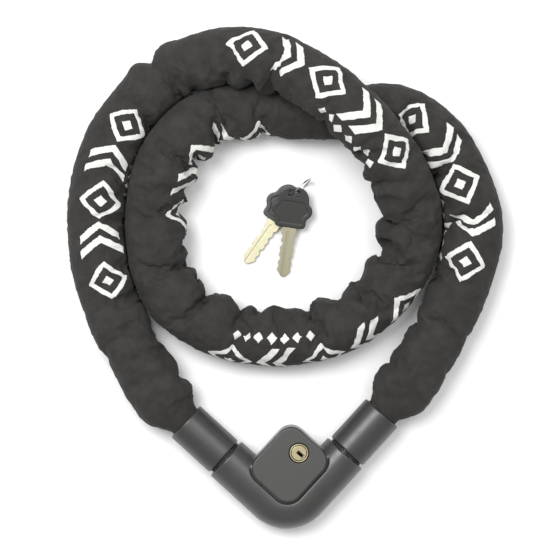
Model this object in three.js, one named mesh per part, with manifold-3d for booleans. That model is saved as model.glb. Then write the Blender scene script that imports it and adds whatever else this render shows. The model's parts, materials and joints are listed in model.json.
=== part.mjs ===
// A chain lock: a V-shaped key-operated lock body whose two arms take the ends of a fabric-covered chain.
// Millimetres, +Z up, lying on a table. The lock body's symmetry axis is +Y, and its right arm is the one
// that opens. Lock parts are laid out from the point where the two arm axes meet, the elbow.
import * as THREE from 'three';
import { mergeVertices } from 'three/addons/utils/BufferGeometryUtils.js';
import Module from 'manifold-3d';

const wasm = await Module();
wasm.setup();

// Driving dimensions
const REST_Y = 30; // from the elbow to the middle of the flat base, which is the part's origin
const AXIS_Z = 13.5; // height of the arm axes
const ARM_RADIUS = 13.5;
const ARM_LENGTH = 49.3; // elbow to each arm's end face
const BEND_RADIUS = 13.8; // of the arm axis round the elbow
const CORE_RADIUS = 9.6; // hardened core inside the arms
const PIN_RADIUS = 6.3;
const PIN_BORE = 7.0;
const PIN_TIP = 26.5; // distance of the locking pin's tip from the elbow
const GROOVE_FROM = 29.4;
const GROOVE_TO = 34.2;
const GROOVE_RADIUS = 3.6;
const ANCHOR_TIP = 28;
const FERRULE_RADIUS = 12.5;
const FERRULE_BORE = 10.9;
const FERRULE_FROM = 51;
const FERRULE_TO = 81.5;
const RIVET_AT = 66; // rivet through the fork, from the elbow
const RIVET_RADIUS = 2.5;
const WIRE_RADIUS = 2.6;
const LINK_INNER_WIDTH = 9.6;
const LINK_INNER_LENGTH = 38;
const LINK_COUNT = 30;
const LINK_ROLL = Math.PI / 4;
const SLEEVE_RADIUS = 15;
const SLEEVE_WALL = 1.1;
const SLEEVE_STEPS = 66;
const COVER = { a: 23.05, b: 20.1, alongA: 38.6, alongB: 34, corner: 9 };
const COVER_FROM = 25.7;
const COVER_TOP = 28.5;
const BLOCK_TOP = 25.4;
const SPLIT_GAP = 0.15; // half the gap between the two shells
const CAVITY_GAP = 0.4;
const FLOOR_Z = 2.2; // inner floor of the lower shell
const CYLINDER = { a: 31.8, b: 20.6 };
const BODY_RADIUS = 6.8;
const NECK_RADIUS = 5.5;
const PLUG_RADIUS = 4.4;
const BOSS_RADIUS = 8.3;
const BOSS_TOP = 22.6;
const BOSS_FROM = 4.8;
const SHOULDER_Z = 22.3;
const FACE_Z = 28.1;
const CAM_RADIUS = 2.12; // eccentricity of the cam's drive pin
const LATCH_WIDTH = 4;
const WAFER_LEVELS = [11, 14.5, 18, 21.5];
const SCREW_PLACES = [{ a: 16.5, b: 31 }, { a: 16.5, b: 14.5 }];
const KEY_PIVOT = new THREE.Vector3(12, 188.5, 0);
const KEY_THICKNESS = 3.2;
const BLADE_THICKNESS = 1.8;
const KEY_TIP = 50;
const RING_RADIUS = 6.9;
const RING_WIRE = 0.5;

// Centre line of the fabric sleeve, from the left ferrule to the right one, elbow at the origin.
// Two turns: up the outside left, over the top, down the inside, round, under, then down the right.
const SLEEVE_ROUTE = [
  [-58, 58, 14], [-70, 71.5, 15], [-83.5, 95, 15.2], [-97, 124, 15.2], [-104.5, 155, 15.2],
  [-104.5, 186, 15.2], [-99, 210, 15.2], [-86, 234, 15.2], [-60, 258.5, 16.5], [-38, 267.5, 23],
  [-18, 269.5, 31], [6, 263, 39], [28, 249.5, 45], [48, 231.5, 46.5], [62, 214.5, 40.5],
  [73, 194.5, 30], [79.3, 172, 20], [75.5, 148.5, 16], [60, 127, 15.2], [38, 111, 15.2],
  [10, 104.5, 15.2], [-18, 106, 15.2], [-42, 114.5, 15.2], [-60, 129.5, 15.2], [-69, 151, 16],
  [-69.5, 180, 18], [-64, 204, 20.5], [-53.5, 222, 22], [-37, 234.5, 18.5], [-11, 239, 15.2],
  [18, 236.5, 15.2], [50, 234, 15.2], [76, 232, 15.2], [97, 216.5, 15.2], [111, 190, 15.2],
  [116.8, 164, 15.2], [110, 137, 15.2], [96.5, 109, 15.2], [78, 80.5, 15.2], [58, 58, 14],
];

// Materials
const charcoal = new THREE.MeshStandardMaterial({ color: 0x4b4b49, roughness: 0.42, metalness: 0 });
const fabric = new THREE.MeshStandardMaterial({ color: 0x262423, roughness: 0.95, metalness: 0 });
const rubber = new THREE.MeshStandardMaterial({ color: 0x151515, roughness: 0.8, metalness: 0 });
const steel = new THREE.MeshStandardMaterial({ color: 0xa9abad, roughness: 0.35, metalness: 1 });
const brass = new THREE.MeshStandardMaterial({ color: 0xd8cf9e, roughness: 0.3, metalness: 1 });
const nickel = new THREE.MeshStandardMaterial({ color: 0xc9bfa2, roughness: 0.3, metalness: 1 });

// A closed three.js geometry as a solid that can be joined and cut
function toSolid(geometry) {
  const bare = geometry.clone();
  bare.deleteAttribute('normal');
  bare.deleteAttribute('uv');
  const merged = mergeVertices(bare.index ? bare.toNonIndexed() : bare, 1e-4);
  return new wasm.Manifold(new wasm.Mesh({
    numProp: 3,
    vertProperties: new Float32Array(merged.attributes.position.array),
    triVerts: new Uint32Array(merged.index.array),
  }));
}

function toGeometry(solid) {
  const mesh = solid.getMesh();
  const geometry = new THREE.BufferGeometry();
  geometry.setAttribute('position', new THREE.BufferAttribute(mesh.vertProperties, 3));
  geometry.setIndex(new THREE.BufferAttribute(mesh.triVerts, 1));
  geometry.computeVertexNormals();
  return geometry;
}

function join(...geometries) {
  return geometries.map(toSolid).reduce((all, solid) => all.add(solid));
}

function cut(solid, ...geometries) {
  return geometries.map(toSolid).reduce((left, tool) => left.subtract(tool), solid);
}

// A path through rings at given points, each ring square to the mean of its two neighbours' directions
class RingPath extends THREE.Curve {
  constructor(points, closed = false) {
    super();
    this.points = points;
    this.closed = closed;
  }

  pointAt(index) {
    const count = this.points.length;
    return this.points[this.closed ? (index + count) % count : Math.min(Math.max(index, 0), count - 1)];
  }

  get spans() {
    return this.closed ? this.points.length : this.points.length - 1;
  }

  getPoint(t, target = new THREE.Vector3()) {
    const index = Math.min(Math.floor(t * this.spans + 1e-6), this.spans);
    const rest = Math.max(t * this.spans - index, 0);
    return target.copy(this.pointAt(index)).lerp(this.pointAt(index + 1), rest);
  }

  getPointAt(u, target) {
    return this.getPoint(u, target);
  }

  getTangentAt(u, target = new THREE.Vector3()) {
    const index = Math.round(u * this.spans);
    const here = this.pointAt(index);
    const incoming = new THREE.Vector3().subVectors(here, this.pointAt(index - 1)).normalize();
    const outgoing = new THREE.Vector3().subVectors(this.pointAt(index + 1), here).normalize();
    return target.addVectors(incoming, outgoing).normalize();
  }
}

function circle(radius, sides, hole = 0) {
  const corner = (r, i) => {
    const angle = ((i + 0.5) * 2 * Math.PI) / sides;
    return new THREE.Vector2(r * Math.cos(angle), r * Math.sin(angle));
  };
  const indices = Array.from({ length: sides }, (_, i) => i);
  const shape = new THREE.Shape(indices.map((i) => corner(radius, i)));
  if (hole > 0) shape.holes.push(new THREE.Path(indices.map((i) => corner(hole, i))));
  return shape;
}

// A solid turned round Z, with its profile given as [radius, height] from the bottom up
function turned(profile, sides = 16) {
  const points = profile.map(([radius, height]) => new THREE.Vector2(radius, height));
  return new THREE.LatheGeometry(points, sides).rotateX(Math.PI / 2);
}

function disc(radius, from, to, sides = 16) {
  return turned([[0, from], [radius, from], [radius, to], [0, to]], sides);
}

// The same solids turned round an arm axis: +X is away from the elbow
function alongArm(geometry) {
  return geometry.rotateY(Math.PI / 2);
}

function box(fromA, toA, fromB, toB, fromZ, toZ) {
  const geometry = new THREE.BoxGeometry(toA - fromA, toB - fromB, toZ - fromZ);
  return geometry.translate((fromA + toA) / 2, (fromB + toB) / 2, (fromZ + toZ) / 2);
}

// Lock body, in a frame with +X along the right arm and +Y along the left arm, elbow at the origin
const at = (geometry, a, b, z = 0) => geometry.translate(a, b, z);

function elbowSweep(radius, length, sides) {
  const points = [new THREE.Vector3(0, length, 0)];
  const bendSteps = 8;
  for (let i = 0; i <= bendSteps; i += 1) {
    const angle = Math.PI + (i * Math.PI) / 2 / bendSteps;
    points.push(new THREE.Vector3(
      BEND_RADIUS + BEND_RADIUS * Math.cos(angle),
      BEND_RADIUS + BEND_RADIUS * Math.sin(angle),
      0,
    ));
  }
  points.push(new THREE.Vector3(length, 0, 0));
  const path = new RingPath(points);
  const geometry = new THREE.ExtrudeGeometry(circle(radius, sides), {
    steps: path.spans,
    extrudePath: path,
  });
  return at(geometry, 0, 0, AXIS_Z);
}

function roundedOutline(width, depth, corner) {
  const x = width / 2;
  const y = depth / 2;
  const shape = new THREE.Shape();
  shape.moveTo(-x + corner, -y);
  shape.lineTo(x - corner, -y);
  shape.absarc(x - corner, -y + corner, corner, -Math.PI / 2, 0);
  shape.absarc(x - corner, y - corner, corner, 0, Math.PI / 2);
  shape.absarc(-x + corner, y - corner, corner, Math.PI / 2, Math.PI);
  shape.absarc(-x + corner, -y + corner, corner, Math.PI, 1.5 * Math.PI);
  return shape;
}

function coverPrism(fromZ, toZ, grow = 0) {
  const outline = roundedOutline(COVER.alongA + 2 * grow, COVER.alongB + 2 * grow, COVER.corner + grow);
  const geometry = new THREE.ExtrudeGeometry(outline, {
    depth: toZ - fromZ,
    bevelEnabled: false,
    curveSegments: 4,
  });
  return at(geometry, COVER.a, COVER.b, fromZ);
}

// Solids of the core's outside, and of the room the shells leave for it, which is larger by a gap
function coreOutside(grow) {
  const end = grow > 0 ? ARM_LENGTH + 1 : ARM_LENGTH - 0.4;
  return join(
    elbowSweep(CORE_RADIUS + grow, end, 16),
    at(disc(BOSS_RADIUS + grow, BOSS_FROM - grow, BOSS_TOP + grow), CYLINDER.a, CYLINDER.b),
    box(25 - grow, 38.6 + grow, 2, CYLINDER.b, BOSS_FROM - grow, 20.6 + grow),
  );
}

function mechanismRoom() {
  return join(
    box(27, 37.6, 3.8, 31.6, FLOOR_Z, BOSS_FROM + 1),
    at(disc(BOSS_RADIUS + CAVITY_GAP, FLOOR_Z, BOSS_FROM + 1), CYLINDER.a, CYLINDER.b),
  );
}

function housingOutside() {
  return join(elbowSweep(ARM_RADIUS, ARM_LENGTH, 24), coverPrism(0, BLOCK_TOP));
}

function screwHoles() {
  const holes = [];
  for (const { a, b } of SCREW_PLACES) {
    holes.push(at(disc(3.3, -1, 3.2), a, b));
    holes.push(at(disc(1.8, 3, AXIS_Z + 0.5), a, b));
    holes.push(at(disc(1.7, AXIS_Z - 0.5, 20.8), a, b));
  }
  return holes;
}

function housingShell(upper) {
  const reach = 70;
  const half = upper
    ? box(-reach, reach, -reach, reach, AXIS_Z + SPLIT_GAP, 40)
    : box(-reach, reach, -reach, reach, -1, AXIS_Z - SPLIT_GAP);
  const recess = coverPrism(BLOCK_TOP, 40, 1.1);
  const neckHole = at(disc(NECK_RADIUS + 0.4, 20, 30), CYLINDER.a, CYLINDER.b);
  const whole = cut(housingOutside(), recess, neckHole, ...screwHoles());
  const hollow = whole.subtract(coreOutside(CAVITY_GAP)).subtract(mechanismRoom());
  return toGeometry(hollow.intersect(toSolid(half)));
}

function cylinderCover() {
  const edge = 0.9;
  const outline = roundedOutline(COVER.alongA - 2 * edge, COVER.alongB - 2 * edge, COVER.corner - edge);
  const plate = new THREE.ExtrudeGeometry(outline, {
    depth: COVER_TOP - COVER_FROM - 2 * edge,
    bevelSize: edge,
    bevelThickness: edge,
    bevelSegments: 2,
    curveSegments: 4,
  });
  const hole = at(disc(NECK_RADIUS + 0.4, 20, 30), CYLINDER.a, CYLINDER.b);
  return toGeometry(cut(join(at(plate, COVER.a, COVER.b, COVER_FROM + edge)), hole));
}

function steelCore() {
  const rightBore = at(alongArm(disc(PIN_BORE, PIN_TIP - 3, 60)), 0, 0, AXIS_Z);
  const alongLeftArm = alongArm(disc(PIN_RADIUS + 0.3, ANCHOR_TIP - 1, 60)).rotateZ(Math.PI / 2);
  const leftBore = at(alongLeftArm, 0, 0, AXIS_Z);
  const cylinderBore = at(disc(BODY_RADIUS + 0.3, 0, 30), CYLINDER.a, CYLINDER.b);
  const halfChannel = LATCH_WIDTH / 2 + 0.3;
  const latchChannel = box(CYLINDER.a - halfChannel, CYLINDER.a + halfChannel, 2, 14, 0, 18.2);
  return toGeometry(cut(coreOutside(0), rightBore, leftBore, cylinderBore, latchChannel));
}

function cylinderBody() {
  return turned([
    [PLUG_RADIUS + 0.2, 7.3],
    [BODY_RADIUS, 7.3],
    [BODY_RADIUS, SHOULDER_Z],
    [NECK_RADIUS, SHOULDER_Z],
    [NECK_RADIUS, FACE_Z - 0.3],
    [NECK_RADIUS - 0.3, FACE_Z],
    [PLUG_RADIUS + 0.2, FACE_Z],
    [PLUG_RADIUS + 0.2, 7.3],
  ], 20);
}

// The plug, its wafers, clip and cam, on the cylinder's axis
function cylinderPlug() {
  const barrel = turned([
    [0, 5.9], [3.5, 5.9], [3.5, 7.2], [PLUG_RADIUS, 7.2], [PLUG_RADIUS, FACE_Z], [0, FACE_Z],
  ], 20);
  const keyway = box(-0.95, 0.95, -3.7, 1.2, 9, FACE_Z + 1);
  const slots = WAFER_LEVELS.map((z) => box(-3.2, 3.2, -6, 6, z - 0.8, z + 0.8));
  return toGeometry(cut(join(barrel), keyway, ...slots));
}

function wafer(z) {
  const plate = box(-2.9, 2.9, -6, 6, z - 0.5, z + 0.5);
  const round = toSolid(disc(PLUG_RADIUS - 0.05, z - 1, z + 1, 20));
  return toGeometry(cut(join(plate).intersect(round), box(-1.2, 1.2, -3.1, 2.2, z - 1, z + 1)));
}

function plugClip() {
  const ring = turned([[3.8, 6.3], [5.6, 6.3], [5.6, 6.9], [3.8, 6.9], [3.8, 6.3]]);
  return toGeometry(cut(join(ring), box(2, 7, -2, 2, 6, 8)));
}

function plugCam() {
  const spread = CAM_RADIUS * Math.SQRT1_2;
  const drivePin = at(disc(1.2, 2.9, 5, 12), spread, spread);
  return toGeometry(join(disc(3.8, 4.6, 5.6), drivePin));
}

function latchBolt() {
  const left = CYLINDER.a - LATCH_WIDTH / 2;
  const right = CYLINDER.a + LATCH_WIDTH / 2;
  const spread = CAM_RADIUS * Math.SQRT1_2;
  const tail = box(27.8, 36.9, 7.6, 30.9, 2.6, 4.3);
  const riser = box(left, right, 7.1, 11.6, 2.6, 17.2);
  const camSlot = box(
    CYLINDER.a - 0.1,
    CYLINDER.a + CAM_RADIUS + 1.6,
    CYLINDER.b + spread - 1.6,
    CYLINDER.b + spread + 1.6,
    0,
    6,
  );
  return toGeometry(cut(join(tail, riser), camSlot));
}

function shellScrew() {
  const head = turned([[0, 1.1], [2.9, 1.1], [2.9, 2.7], [1.3, 2.7], [1.3, 19.5], [0, 20.3]], 16);
  return toGeometry(cut(join(head), box(-0.4, 0.4, -2.2, 2.2, 0.5, 1.8)));
}

// A pin on an arm axis that ends in a fork for the chain's end link; the slot lies in the link's plane
function forkPin(tip, groove) {
  const profile = [[0, tip], [PIN_RADIUS - 1.6, tip], [PIN_RADIUS, tip + 1.6]];
  if (groove) {
    profile.push([PIN_RADIUS, GROOVE_FROM], [GROOVE_RADIUS, GROOVE_FROM]);
    profile.push([GROOVE_RADIUS, GROOVE_TO], [PIN_RADIUS, GROOVE_TO]);
  }
  profile.push([PIN_RADIUS, FERRULE_FROM + 2.5], [CORE_RADIUS, FERRULE_FROM + 2.5]);
  profile.push([CORE_RADIUS, RIVET_AT + 4], [0, RIVET_AT + 4]);
  const slot = box(56.3, 80, -12, 12, -WIRE_RADIUS - 0.4, WIRE_RADIUS + 0.4);
  const rivetHole = at(disc(RIVET_RADIUS + 0.3, -12, 12, 16), RIVET_AT, 0);
  return toGeometry(cut(join(alongArm(turned(profile))), slot, rivetHole));
}

function forkRivet() {
  return at(disc(RIVET_RADIUS, -9, 9, 16), RIVET_AT, 0);
}

function ferrule() {
  const edge = 1.1;
  return alongArm(turned([
    [PIN_RADIUS + 0.3, FERRULE_FROM],
    [FERRULE_RADIUS - edge, FERRULE_FROM],
    [FERRULE_RADIUS, FERRULE_FROM + edge],
    [FERRULE_RADIUS, FERRULE_TO - edge],
    [FERRULE_RADIUS - 0.5, FERRULE_TO],
    [FERRULE_BORE, FERRULE_TO],
    [FERRULE_BORE, FERRULE_FROM + 2.2],
    [PIN_RADIUS + 0.3, FERRULE_FROM + 2.2],
    [PIN_RADIUS + 0.3, FERRULE_FROM],
  ], 20));
}

function sealRing() {
  return alongArm(turned([
    [PIN_RADIUS + 0.3, ARM_LENGTH + 0.3],
    [ARM_RADIUS - 2.6, ARM_LENGTH + 0.3],
    [ARM_RADIUS - 2.6, FERRULE_FROM - 0.3],
    [PIN_RADIUS + 0.3, FERRULE_FROM - 0.3],
    [PIN_RADIUS + 0.3, ARM_LENGTH + 0.3],
  ]));
}

// One long link lying in its own XY plane, with its length along X
function linkGeometry() {
  const bendRadius = LINK_INNER_WIDTH / 2 + WIRE_RADIUS;
  const half = LINK_INNER_LENGTH / 2 + WIRE_RADIUS - bendRadius;
  const bendSteps = 4;
  const points = [];
  for (const side of [1, -1]) {
    for (let i = 0; i <= bendSteps; i += 1) {
      const angle = -Math.PI / 2 + (i * Math.PI) / bendSteps;
      const x = side * (half + bendRadius * Math.cos(angle));
      points.push(new THREE.Vector3(x, side * bendRadius * Math.sin(angle), 0));
    }
  }
  const path = new RingPath(points, true);
  return new THREE.TubeGeometry(path, path.spans, WIRE_RADIUS, 6, true);
}

// Keys: ring hole at the origin, blade towards -Y, flat in XY, middle of the thickness at z = 0
function keyHead() {
  const outline = new THREE.Shape();
  outline.moveTo(-8.7, -20.4);
  outline.lineTo(8.7, -20.4);
  outline.bezierCurveTo(9.6, -20.2, 9.4, -16, 10, -13.5);
  outline.bezierCurveTo(13, -10.5, 11.5, -7, 9.4, -4.5);
  outline.bezierCurveTo(9.4, 0, 8, 3.6, 3, 3.6);
  outline.lineTo(-3, 3.6);
  outline.bezierCurveTo(-8, 3.6, -9.4, 0, -9.4, -4.5);
  outline.bezierCurveTo(-11.5, -7, -13, -10.5, -10, -13.5);
  outline.bezierCurveTo(-9.4, -16, -9.6, -20.2, -8.7, -20.4);
  const body = new THREE.ExtrudeGeometry(outline, {
    depth: KEY_THICKNESS,
    bevelEnabled: false,
    curveSegments: 5,
  });
  const tangPocket = box(-3.9, 3.9, -30, -9.5, -BLADE_THICKNESS / 2 - 0.3, BLADE_THICKNESS / 2 + 0.3);
  const ringHole = box(-3.35, 3.35, -1.85, 1.85, -5, 5);
  return toGeometry(cut(join(at(body, 0, 0, -KEY_THICKNESS / 2)), tangPocket, ringHole));
}

function keyBlade() {
  const outline = new THREE.Shape();
  outline.moveTo(-3.6, -9.9);
  outline.lineTo(-3.6, -20.8);
  outline.lineTo(-4.3, -20.8);
  outline.lineTo(-4.3, -24.5);
  const cuts = 5;
  const pitch = (KEY_TIP - 28) / cuts;
  const depths = [0.9, 1.5, 0.6, 1.2, 0.8];
  for (let i = 0; i < cuts; i += 1) {
    outline.lineTo(-4 + depths[i], -26 - i * pitch);
    outline.lineTo(-4, -26 - (i + 0.6) * pitch);
  }
  outline.lineTo(-1, -KEY_TIP);
  outline.lineTo(1, -KEY_TIP);
  for (let i = cuts - 1; i >= 0; i -= 1) {
    outline.lineTo(4, -26 - (i + 0.6) * pitch);
    outline.lineTo(4 - depths[cuts - 1 - i], -26 - i * pitch);
  }
  outline.lineTo(4.3, -24.5);
  outline.lineTo(4.3, -20.8);
  outline.lineTo(3.6, -20.8);
  outline.lineTo(3.6, -9.9);
  const plate = new THREE.ExtrudeGeometry(outline, { depth: BLADE_THICKNESS, bevelEnabled: false });
  const milling = box(-1.2, -0.2, -KEY_TIP - 1, -23, 0.5, 2);
  return toGeometry(cut(join(at(plate, 0, 0, -BLADE_THICKNESS / 2)), milling));
}

// Assembly
const chainLock = new THREE.Group();
const layout = new THREE.Group();
layout.position.set(0, -REST_Y, 0);
chainLock.add(layout);

function addMesh(parent, name, geometry, material) {
  const mesh = new THREE.Mesh(geometry, material);
  mesh.name = name;
  parent.add(mesh);
  return mesh;
}

function addGroup(parent, turn, x = 0, y = 0, z = 0) {
  const group = new THREE.Group();
  group.position.set(x, y, z);
  group.rotation.z = turn;
  parent.add(group);
  return group;
}

function addLockBody() {
  const lock = addGroup(layout, Math.PI / 4);
  addMesh(lock, 'housing_lower_shell', housingShell(false), charcoal);
  addMesh(lock, 'housing_upper_shell', housingShell(true), charcoal);
  addMesh(lock, 'cylinder_cover', cylinderCover(), charcoal);
  addMesh(lock, 'steel_core', steelCore(), steel);
  addMesh(lock, 'latch_bolt', latchBolt(), steel);
  SCREW_PLACES.forEach(({ a, b }, i) => {
    addMesh(lock, `shell_screw_${i + 1}`, shellScrew(), steel).position.set(a, b, 0);
  });
  const cylinder = addGroup(lock, 0, CYLINDER.a, CYLINDER.b);
  addMesh(cylinder, 'cylinder_body', cylinderBody(), brass);
  addMesh(cylinder, 'cylinder_plug', cylinderPlug(), brass);
  addMesh(cylinder, 'plug_clip', plugClip(), steel);
  addMesh(cylinder, 'plug_cam', plugCam(), steel);
  WAFER_LEVELS.forEach((z, i) => addMesh(cylinder, `wafer_${i + 1}`, wafer(z), brass));
}

function addArmEnd(side, turn, pinName, tip, groove, roll) {
  const arm = addGroup(layout, turn, 0, 0, AXIS_Z);
  addMesh(arm, `${side}_ferrule`, ferrule(), charcoal);
  addMesh(arm, `${side}_seal_ring`, sealRing(), rubber);
  addMesh(arm, pinName, forkPin(tip, groove), steel).rotation.x = roll;
  addMesh(arm, `${side}_rivet`, forkRivet(), steel).rotation.x = roll;
}

function armPoint(side, distance) {
  return new THREE.Vector3(side * distance * Math.SQRT1_2, distance * Math.SQRT1_2, AXIS_Z);
}

function sleeveCurve() {
  return new THREE.CatmullRomCurve3(SLEEVE_ROUTE.map((point) => new THREE.Vector3(...point)));
}

function addSleeve() {
  const section = circle(SLEEVE_RADIUS, 10, SLEEVE_RADIUS - SLEEVE_WALL);
  const curve = sleeveCurve();
  curve.arcLengthDivisions = 2000;
  const tube = new THREE.ExtrudeGeometry(section, { steps: SLEEVE_STEPS, extrudePath: curve });
  addMesh(layout, 'fabric_sleeve', tube, fabric);
}

// The chain follows the sleeve's centre line and runs straight into both ferrules
function addChain() {
  const samples = 2400;
  const lead = 5; // the path starts this far before the first rivet and ends as far past the last
  const dense = [
    armPoint(-1, RIVET_AT - lead),
    ...sleeveCurve().getPoints(samples),
    armPoint(1, RIVET_AT - lead),
  ];
  const reached = [0];
  for (let i = 1; i < dense.length; i += 1) {
    reached.push(reached[i - 1] + dense[i].distanceTo(dense[i - 1]));
  }
  const pointAt = (distance) => {
    const next = Math.max(reached.findIndex((value) => value >= distance), 1);
    const part = (distance - reached[next - 1]) / (reached[next] - reached[next - 1]);
    return dense[next - 1].clone().lerp(dense[next], part);
  };
  const total = reached[reached.length - 1];
  const firstCentre = lead + LINK_INNER_LENGTH / 2 - RIVET_RADIUS - 0.4;
  const spacing = (total - 2 * firstCentre) / (LINK_COUNT - 1);
  const geometry = linkGeometry();
  for (let i = 0; i < LINK_COUNT; i += 1) {
    const middle = firstCentre + i * spacing;
    const start = pointAt(middle - spacing / 2);
    const end = pointAt(middle + spacing / 2);
    const mesh = addMesh(layout, `chain_link_${String(i + 1).padStart(2, '0')}`, geometry, steel);
    const along = new THREE.Vector3().subVectors(end, start).normalize();
    const across = new THREE.Vector3(0, 0, 1).cross(along).normalize();
    const up = new THREE.Vector3().crossVectors(along, across);
    const roll = i % 2 === 0 ? LINK_ROLL : -LINK_ROLL;
    const basis = new THREE.Matrix4().makeBasis(along, across, up);
    basis.multiply(new THREE.Matrix4().makeRotationX(roll));
    mesh.quaternion.setFromRotationMatrix(basis);
    mesh.position.addVectors(start, end).multiplyScalar(0.5);
  }
}

function addKey(name, height, turn, pitch) {
  const key = addGroup(layout, turn, KEY_PIVOT.x, KEY_PIVOT.y, height);
  const tilted = new THREE.Group();
  tilted.rotation.x = pitch;
  key.add(tilted);
  addMesh(tilted, `${name}_head`, keyHead(), charcoal);
  addMesh(tilted, `${name}_blade`, keyBlade(), nickel);
}

function addKeyRing() {
  const leanAngle = (6 * Math.PI) / 180;
  const heading = (39.4 * Math.PI) / 180;
  const offset = 5.8;
  const ring = addGroup(layout, heading, KEY_PIVOT.x, KEY_PIVOT.y, RING_RADIUS + RING_WIRE + 0.1);
  const torus = new THREE.TorusGeometry(RING_RADIUS, RING_WIRE, 6, 24).rotateX(Math.PI / 2 - leanAngle);
  addMesh(ring, 'key_ring', torus.translate(offset, 0, 0), nickel);
}

addLockBody();
addArmEnd('right', Math.PI / 4, 'locking_pin', PIN_TIP, true, LINK_ROLL);
addArmEnd('left', (3 * Math.PI) / 4, 'anchor_pin', ANCHOR_TIP, false, LINK_ROLL);
addSleeve();
addChain();
addKey('key_front', 10.1, (-10.7 * Math.PI) / 180, (10.2 * Math.PI) / 180);
addKey('key_rear', 3.9, (-37.7 * Math.PI) / 180, (3.3 * Math.PI) / 180);
addKeyRing();

export default chainLock;
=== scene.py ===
"""The chain lock's looks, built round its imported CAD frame. Metres, +Z up, in the row frame."""
import json
import math

import bpy
import numpy as np
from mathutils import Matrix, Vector


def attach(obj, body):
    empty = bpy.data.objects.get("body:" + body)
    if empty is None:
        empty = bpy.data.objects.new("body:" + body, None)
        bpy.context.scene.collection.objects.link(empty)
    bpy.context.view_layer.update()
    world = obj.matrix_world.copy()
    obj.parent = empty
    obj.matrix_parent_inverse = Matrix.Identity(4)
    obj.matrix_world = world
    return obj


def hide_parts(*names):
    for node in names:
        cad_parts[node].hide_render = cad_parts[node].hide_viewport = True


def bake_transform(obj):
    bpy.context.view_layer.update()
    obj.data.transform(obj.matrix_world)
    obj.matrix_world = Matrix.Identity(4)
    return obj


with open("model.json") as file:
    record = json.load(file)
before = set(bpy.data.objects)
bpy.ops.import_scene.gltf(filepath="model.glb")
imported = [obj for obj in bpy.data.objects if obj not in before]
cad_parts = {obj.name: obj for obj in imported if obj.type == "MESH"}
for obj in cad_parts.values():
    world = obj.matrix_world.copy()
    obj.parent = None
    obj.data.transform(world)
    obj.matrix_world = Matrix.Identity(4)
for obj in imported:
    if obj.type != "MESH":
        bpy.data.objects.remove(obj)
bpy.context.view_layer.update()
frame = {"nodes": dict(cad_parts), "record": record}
MM = 0.001
ELBOW_Y = -0.030  # where the two arm axes meet
AXIS_Z = 0.0135

# ---------------------------------------------------------------- camera
camera_data = bpy.data.cameras.new("camera")
camera_data.lens = 164.8
camera_data.sensor_width = 36
camera = bpy.data.objects.new("camera", camera_data)
camera.location = (0.0013, 0.1080, 1.5165)
camera.rotation_euler = (0, 0, math.radians(-2.5))
bpy.context.scene.collection.objects.link(camera)
bpy.context.scene.camera = camera

# ---------------------------------------------------------------- the sleeve's route
SLEEVE_ROUTE = [
    (-0.058, 0.028, 0.014), (-0.07, 0.0415, 0.015), (-0.0835, 0.065, 0.0152), (-0.097, 0.094, 0.0152),
    (-0.1045, 0.125, 0.0152), (-0.1045, 0.156, 0.0152), (-0.099, 0.18, 0.0152), (-0.086, 0.204, 0.0152),
    (-0.06, 0.2285, 0.0165), (-0.038, 0.2375, 0.023), (-0.018, 0.2395, 0.031), (0.006, 0.233, 0.039),
    (0.028, 0.2195, 0.045), (0.048, 0.2015, 0.0465), (0.062, 0.1845, 0.0405), (0.073, 0.1645, 0.03),
    (0.0793, 0.142, 0.02), (0.0755, 0.1185, 0.016), (0.06, 0.097, 0.0152), (0.038, 0.081, 0.0152),
    (0.01, 0.0745, 0.0152), (-0.018, 0.076, 0.0152), (-0.042, 0.0845, 0.0152), (-0.06, 0.0995, 0.0152),
    (-0.069, 0.121, 0.016), (-0.0695, 0.15, 0.018), (-0.064, 0.174, 0.0205), (-0.0535, 0.192, 0.022),
    (-0.037, 0.2045, 0.0185), (-0.011, 0.209, 0.0152), (0.018, 0.2065, 0.0152), (0.05, 0.204, 0.0152),
    (0.076, 0.202, 0.0152), (0.097, 0.1865, 0.0152), (0.111, 0.16, 0.0152), (0.1168, 0.134, 0.0152),
    (0.11, 0.107, 0.0152), (0.0965, 0.079, 0.0152), (0.078, 0.0505, 0.0152), (0.058, 0.028, 0.014),
]
MOUTH_DEPTH = 0.006  # how far the fabric reaches into each ferrule
STEP = 0.00225  # between the rings of the fabric
AROUND = 46


def smooth_route(points, count=9000):
    """Centripetal Catmull-Rom curve through the points."""
    p = np.asarray(points, float)
    a = np.vstack([2 * p[0] - p[1], p, 2 * p[-1] - p[-2]])
    spans = len(p) - 1
    out = []
    for u in np.linspace(0, spans, count):
        i = min(int(u), spans - 1)
        w = u - i
        p0, p1, p2, p3 = a[i], a[i + 1], a[i + 2], a[i + 3]
        d0, d1, d2 = (math.sqrt(np.linalg.norm(q - r)) for q, r in ((p0, p1), (p1, p2), (p2, p3)))
        t1 = ((p1 - p0) / d0 - (p2 - p0) / (d0 + d1) + (p2 - p1) / d1) * d1
        t2 = ((p2 - p1) / d1 - (p3 - p1) / (d1 + d2) + (p3 - p2) / d2) * d1
        out.append(p1 + t1 * w + (3 * (p2 - p1) - 2 * t1 - t2) * w * w + (2 * (p1 - p2) + t1 + t2) * w ** 3)
    return np.array(out)


def arc_lengths(curve):
    return np.r_[0, np.cumsum(np.linalg.norm(np.diff(curve, axis=0), axis=1))]


def resample(curve, count):
    s = arc_lengths(curve)
    q = np.linspace(0, s[-1], count)
    return np.stack([np.interp(q, s, curve[:, k]) for k in range(3)], 1)


def unit(v):
    return v / np.maximum(np.linalg.norm(v, axis=-1, keepdims=True), 1e-12)


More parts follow.
